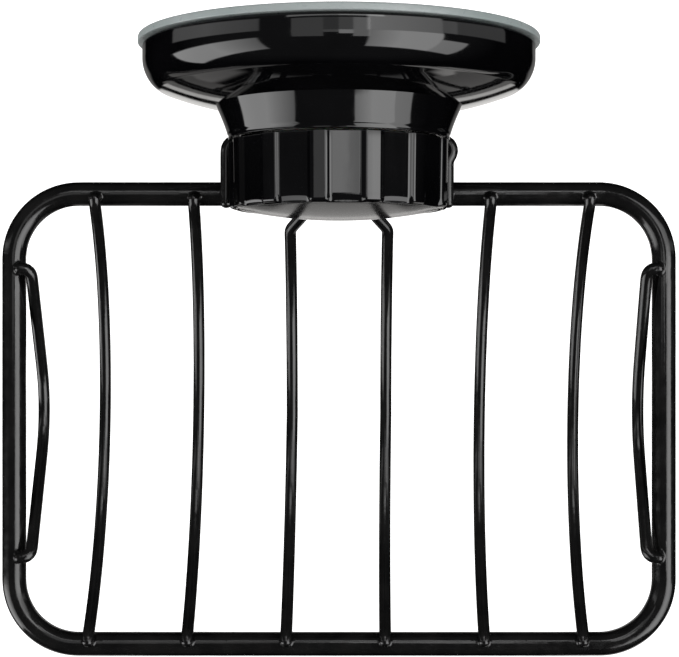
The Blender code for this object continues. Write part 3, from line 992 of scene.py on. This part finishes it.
def rib_path(number):
    """List the path of a rib of the tray. The middle two are kinked in and run on to the tongue."""
    half, lean = rib_profile(48)
    end_lean = lean - math.radians(rib_wrap_deg)
    front = [(-back, height) for back, height in reversed(half + over_rail(lean, end_lean, 10))]
    x = (number - (rib_count + 1) / 2) * rib_spacing
    middle = abs(x) < rib_spacing
    rear = half[1:] + over_rail(lean, 0 if middle else end_lean, 10)
    path = []
    for back, height in front + rear:
        lean_x = rib_skew / 2 * min(back / frame_half_depth, 0 if middle else 1)
        path.append((x + lean_x, back - frame_centre_depth, height))
    return kinked(path, x) if middle else path


def kinked(path, x):
    """Draw the back end of a middle rib in to the neck and run it to the tongue."""
    inner = math.copysign(neck_half_width, x)
    done = []
    for px, py, pz in path:
        run = (py + kink_depth) / (abs(x) - neck_half_width)
        share = min(max(run, 0), 1)
        done.append((px + (inner - x) * share, py, pz))
    done.append((inner, -plate_front - gap, wire_height))
    return done


def bent(corners, rounds, count=10):
    """List the points of a bent wire from its corners and the size of each bend."""
    places = [Vector(c) for c in corners]
    points = [places[0]]
    for i, size in enumerate(rounds):
        points += bend(*places[i:i + 3], size, count)
    points.append(places[-1])
    return points


def side_path(side, drop):
    """List the path of a side wire that dips inside a side rail."""
    middle = -side_centre_depth
    outer = side * (frame_half_width - side_stub_inset)
    plane = side * (frame_half_width - side_inset)
    corners = [
        (outer, middle - side_half_span, wire_height),
        (plane, middle - side_half_span, wire_height),
        (plane, middle, frame_height - drop * 5 / 4),
        (plane, middle + side_half_span, wire_height),
        (outer, middle + side_half_span, wire_height),
    ]
    return bent(corners, (side_end_bend, side_bend, side_end_bend))


def hanger_path():
    """List the path of the wire that joins the back rail to the plate."""
    back, front = -hanger_back_depth, -hanger_front_depth
    right = hanger_right
    swell = right + hanger_bulge
    arm_top = back - hanger_corner
    corners = [
        (hanger_left, front, wire_height),
        (hanger_left, back, wire_height),
        (swell, back, wire_height),
        (swell, arm_top, wire_height),
    ]
    path = bent(corners, (hanger_corner, hanger_corner))[:-1]
    steps = 12
    for i in range(1, steps + 1):
        ease = (1 + math.cos(math.pi * i / steps)) / 2
        depth = arm_top - hanger_bulge_length * i / steps
        path.append(Vector((right + hanger_bulge * ease, depth, wire_height)))
    path.append(Vector((right, front, wire_height)))
    return path


def make_wires(material):
    """The rail, the ribs, the side wires and the hanger."""
    wire_piece("rail_loop", frame_path(), rail_radius, rail_sides, material, "frame_loop", True)
    thin = [(f"tray_wire_{number}", rib_path(number), f"rib_{number}") for number in range(1, rib_count + 1)]
    thin += [
        ("side_bow_left", side_path(-1, side_drop_left), "side_wire_left"),
        ("side_bow_right", side_path(1, side_drop_right), "side_wire_right"),
        ("hanger_bow", hanger_path(), "hanger_wire"),
    ]
    for name, path, node in thin:
        wire_piece(name, path, wire_radius, wire_sides, material, node)


# Welds


def ball(centre, radii, rings=10):
    """List an ellipsoid's points and faces."""
    count = rings * 2
    layers = []
    for i in range(rings - 1, 0, -1):
        lean = math.pi * i / rings
        layer = []
        for a in full_turn(count):
            way = (math.sin(lean) * math.cos(a), math.sin(lean) * math.sin(a), math.cos(lean))
            layer.append(Vector([c + r * w for c, r, w in zip(centre, radii, way)]))
        layers.append(layer)
    up = Vector((0, 0, radii[2]))
    return fanned(layers, Vector(centre) - up, Vector(centre) + up)


def near(path, centre, reach):
    """List the part of a path that lies within reach of a point."""
    return [p for p in resampled(path, wire_step / 2) if (p - centre).length < reach]


def weld(name, centre, stretches, fill, fill_size, material):
    """Make the blended skin where wires meet.

    The stretches are lists of (points, radius) near the centre. Fused and eased, they sink a little
    under the wires and stand out only in the creases. The fill is an ellipsoid between the wires.
    """
    verts, faces = [], []
    shapes = [tube([p - centre for p in points], radius, 16, wobble=0) for points, radius in stretches]
    shapes.append(ball([a - b for a, b in zip(fill, centre)], fill_size))
    for shape_verts, shape_faces in shapes:
        base = len(verts)
        verts += shape_verts
        faces += [tuple(base + i for i in face) for face in shape_faces]
    mesh = bpy.data.meshes.new(name)
    mesh.from_pydata(verts, [], faces)
    source = new_object(name + "_source", mesh)
    remesh = source.modifiers.new("fuse", "REMESH")
    remesh.mode = "VOXEL"
    remesh.voxel_size = weld_voxel
    ease = source.modifiers.new("ease", "SMOOTH")
    ease.factor = 0.5
    ease.iterations = weld_ease_rounds
    piece = as_mesh(source, name)
    piece.location = centre
    return finished(piece, "basket", material, sharp_over_deg=180)


def copy_weld(name, first, centre):
    """Set a copy of a weld at another joint."""
    piece = new_object(name, first.data)
    piece.location = centre
    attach(piece, "basket")


def stretch(centre, along, half):
    """List a straight stretch of a wire through a point."""
    steps = 16
    return [centre + along * (half * (2 * i / steps - 1)) for i in range(steps + 1)]


def rail_weld(name, x, y, along, path, fill, fill_size, material, reach=weld_reach):
    """Make the weld of a wire that crosses a straight stretch of the rail."""
    centre = Vector((x, y, frame_height + rail_radius))
    rail = stretch(Vector((x, y, frame_height)), along, weld_reach)
    stretches = [(rail, rail_radius), (near(path, centre, reach), wire_radius)]
    return weld(name, centre, stretches, fill, fill_size, material)


def make_welds(material):
    """The welds of the ribs, the side wires, the hanger and the tongue."""
    across = Vector((1, 0, 0))
    top = frame_height + rail_radius
    firsts = {}
    for number in range(1, rib_count + 1):
        path = rib_path(number)
        for end, depth, lean in (("front", front_rail_depth, 1), ("back", back_rail_depth, -1)):
            kind = f"crossing_{number}" if end == "back" and number in middle_ribs else end
            close = min((Vector(p) for p in path), key=lambda p: abs(p.y + depth) + abs(p.z - wire_height))
            name = f"weld_{end}_{number}"
            if kind in firsts:
                copy_weld(name, firsts[kind], Vector((close.x, -depth, top)))
                continue
            rise = frame_height + rail_radius * rib_fill_rise
            fill = (close.x, -depth + lean * rail_radius * rib_fill_lean, rise)
            firsts[kind] = rail_weld(name, close.x, -depth, across, path, fill, rib_fill, material)
    for side, drop, label in ((-1, side_drop_left, "left"), (1, side_drop_right, "right")):
        path = side_path(side, drop)
        x = side * frame_half_width
        for way, end in ((-1, "front"), (1, "back")):
            y = -side_centre_depth + way * side_half_span
            name = f"weld_side_{label}_{end}"
            rise = frame_height + rail_radius * side_fill_rise
            fill = (side * (frame_half_width - rail_radius * side_fill_lean), y, rise)
            rail_weld(name, x, y, Vector((0, 1, 0)), path, fill, side_fill, material, side_weld_reach)
    y = -back_rail_depth
    for x, label in ((hanger_left, "left"), (hanger_right, "right")):
        fill = (x, y, top + gap / 2)
        rail_weld(f"weld_hanger_{label}", x, y, across, hanger_path(), fill, hanger_fill, material)
    for side, label, number in ((-1, "left", 3), (1, "right", 4)):
        x = side * neck_half_width
        centre = Vector((x, -plate_front - wire_radius, wire_height))
        wire = near(rib_path(number), centre, tongue_weld_reach)
        fill = (x, -plate_front - wire_radius * tongue_fill_lean, wire_height)
        weld(f"weld_tongue_{label}", centre, [(wire, wire_radius)], fill, tongue_fill, material)
    centre = Vector((0, -hanger_back_depth, wire_height))
    wire = stretch(centre, across, bow_weld_half)
    fill = (0, -plate_back + gap / 2, wire_height)
    weld("weld_plate_bow", centre, [(wire, wire_radius)], fill, bow_fill, material)


# Studio


def maths(tree, operation, first, second=0.0):
    """Do one sum on two sockets or numbers."""
    return put(tree, "Math", {0: first, 1: second}, operation=operation)[0]


def mixed(tree, share, first, second):
    """Mix two shaders."""
    return put(tree, "MixShader", {0: share, 1: first, 2: second})[0]


def window(tree, value, low, high, soft):
    """Give 1 where a value lies between two limits and 0 outside, with soft edges."""
    away = maths(tree, "ABSOLUTE", maths(tree, "SUBTRACT", value, (low + high) / 2))
    start = (high - low) / 2 - soft / 2
    return ranged(tree, away, 1, 0, start, (high - low) / 2 + soft / 2, "SMOOTHSTEP")


def patch(tree, across, along, limits, soft, level):
    """Give the light of a patch, from its limits both ways, the softness of its edges and its level."""
    left, right, low, high = limits
    wide = window(tree, across, left, right, soft[0])
    long = window(tree, along, low, high, soft[1])
    return maths(tree, "MULTIPLY", maths(tree, "MULTIPLY", wide, long), level)


def brightest(tree, lights):
    """Give the brightest of several lights."""
    total = lights[0]
    for light in lights[1:]:
        total = maths(tree, "MAXIMUM", total, light)
    return total


def emptied(tree):
    """Clear a node tree. Give what marks mirrored rays, and rays that the lens sees."""
    tree.nodes.clear()
    rays = put(tree, "LightPath", {})
    seen = maths(tree, "MAXIMUM", rays["Is Camera Ray"], rays["Is Transmission Ray"])
    return rays["Is Glossy Ray"], seen


def coordinates(tree, kind):
    """Give the parts of a place or a direction."""
    return put(tree, "SeparateXYZ", {0: put(tree, "TexCoord", {})[kind]})


def make_floor():
    """A white floor under the dish, which keeps its shadow where the lens sees it. What the mouldings mirror
    of it is painted light in patches, with painted shade under the knob. It is not seen from below.
    """
    height = cad_box[0][2] - floor_drop
    mesh = bpy.data.meshes.new("floor")
    corners = [(x * floor_half, y * floor_half, height) for x, y in ((-1, -1), (1, -1), (1, 1), (-1, 1))]
    mesh.from_pydata(corners, [], [(0, 1, 2, 3)])
    floor = new_object("floor", mesh)
    made = bpy.data.materials.new("floor_white")
    made.use_nodes = True
    made.cycles.emission_sampling = "NONE"
    tree = made.node_tree
    glossy, seen = emptied(tree)
    diffuse = put(tree, "BsdfDiffuse", {0: (0.8, 0.8, 0.8, 1)})[0]
    glow = put(tree, "Emission", {0: white, 1: maths(tree, "MULTIPLY", seen, floor_lift)})[0]
    plain = put(tree, "AddShader", {0: diffuse, 1: glow})[0]
    x, y, _ = coordinates(tree, "Object")
    # Painted light for reflections: glowing patches that the mouldings mirror instead of the lit floor; the
    # dim patch under the knob is painted shade.
    lights = [patch(tree, x, y, limits, (soft, soft), level) for *limits, soft, level in floor_lights]
    bright = put(tree, "Emission", {0: (1, 0.98, 0.96, 1), 1: 1.0})[0]
    clear = put(tree, "BsdfTransparent", {0: white})[0]
    reflected = mixed(tree, brightest(tree, lights), clear, bright)
    above = mixed(tree, glossy, plain, reflected)
    back = put(tree, "NewGeometry", {})["Backfacing"]
    put(tree, "OutputMaterial", {"Surface": mixed(tree, back, above, clear)})
    mesh.materials.append(made)


def make_world():
    """A white background for the camera, and a dark studio with lit panels for reflections."""
    world = bpy.data.worlds.new("studio")
    bpy.context.scene.world = world
    world.use_nodes = True
    world.cycles.sampling_method = "NONE"
    tree = world.node_tree
    glossy, seen = emptied(tree)
    x, y, z = coordinates(tree, "Generated")
    around = maths(tree, "DEGREES", maths(tree, "ARCTAN2", x, z))
    rise = maths(tree, "DEGREES", maths(tree, "ARCSINE", y))
    lights = []
    for *limits, soft_x, soft_y, first, second in panels:
        level = ranged(tree, around, first, second, limits[0], limits[1])
        lights.append(patch(tree, around, rise, limits, (soft_x, soft_y), level))
    lights.append(ranged(tree, z, 0, room_reflected, *room_ramp))
    levels = (room_fill, brightest(tree, lights), 1.0)
    dim, studio, backdrop = [put(tree, "Background", {0: white, 1: level})[0] for level in levels]
    put(tree, "OutputWorld", {"Surface": mixed(tree, seen, mixed(tree, glossy, dim, studio), backdrop)})


def make_softbox(name, place, target, width, height, radiance, mirrored=False):
    """A rectangular lamp that looks at a target, with its brightness as a surface sees it."""
    data = bpy.data.lights.new(name, "AREA")
    data.shape = "RECTANGLE"
    data.size = width
    data.size_y = height
    data.energy = radiance * width * height * math.pi
    lamp = new_object(name, data)
    lamp.location = place
    aim = Vector(target) - Vector(place)
    lamp.rotation_euler = aim.to_track_quat("-Z", "Y").to_euler()
    lamp.visible_camera = False
    lamp.visible_glossy = mirrored


def make_lamps():
    """The lamps for matt surfaces, and those beside the lens that the mouldings and rails reflect."""
    for name, place, width, height, radiance in softboxes:
        make_softbox(name, place, lamp_target, width, height, radiance)
    for number, (left, right, low, high, radiance) in enumerate(near_lamps, 1):
        place = ((left + right) / 2, (low + high) / 2, near_height)
        below = (place[0], place[1], 0)
        make_softbox(f"near_lamp_{number}", place, below, right - left, high - low, radiance, True)


def make_camera():
    """The photograph's camera, straight above the dish."""
    data = bpy.data.cameras.new("camera")
    data.sensor_width = 36
    data.lens = focal_pixels / image_width * data.sensor_width
    data.clip_start = 0.01
    camera = new_object("camera", data)
    camera.location = camera_place
    bpy.context.scene.camera = camera


make_camera()
make_pad(soft_pad_material())
make_bell(moulded_black("housing_gloss_black", 0.05))
make_stud(turned_metal("stud_zinc", (0.66, 0.65, 0.62), (0.48, 0.47, 0.44), 0.28))
make_knob(moulded_black("knob_gloss_black", 0.045))
make_cap(moulded_black("cap_gloss_black", 0.14, 0.25))
make_washer(nylon_material())
make_nut(turned_metal("nut_brass", (0.78, 0.58, 0.27), (0.60, 0.42, 0.18), 0.25))
make_plate(coated_black("plate_coating"))
wire_black = coated_black("wire_coating")
make_wires(wire_black)
make_welds(wire_black)

make_floor()
make_world()
make_lamps()

bpy.context.scene.view_settings.view_transform = "Standard"
